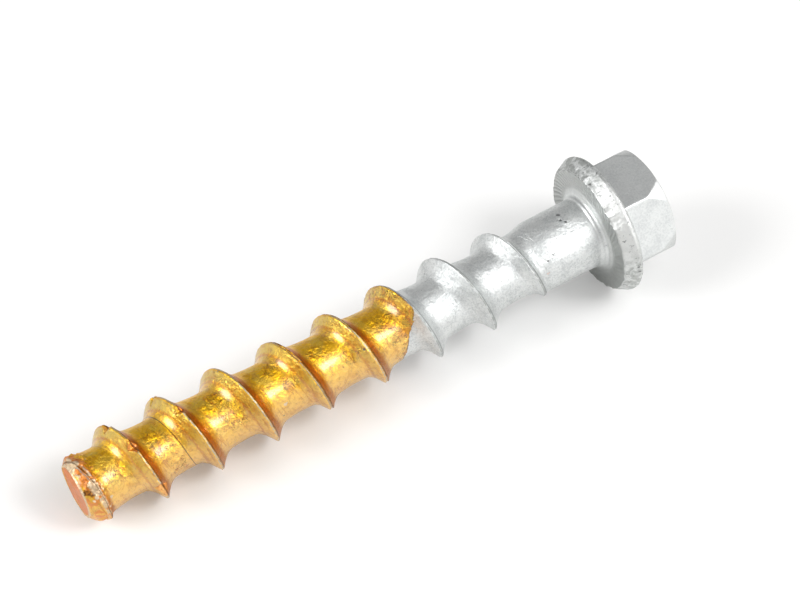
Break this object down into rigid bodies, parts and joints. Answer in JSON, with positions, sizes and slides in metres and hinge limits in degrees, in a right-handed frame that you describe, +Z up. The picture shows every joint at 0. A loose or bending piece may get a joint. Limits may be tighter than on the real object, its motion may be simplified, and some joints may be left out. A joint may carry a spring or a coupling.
{
  "type": "concrete screw",
  "caption": "Hex flange concrete screw lying on its side: coarse right-hand thread with notched first turns, plain shank, flange with flat bearing face.",
  "frame": {"origin": "middle of the bounding box, on the floor that the screw lies on", "axes": "+X along the floor under the screw's axis, from the sheared tip to the hexagon; +Z up. The axis itself rises about 3 degrees towards the head."},
  "size_m": [0.1036, 0.0232, 0.0232],
  "materials": {
    "coated_steel": "satin zinc on head, shank and upper thread, worn gold lacquer on the lower thread"
  },
  "bodies": {
    "root": {"concrete_screw": "coated_steel"}
  },
  "joints": []
}
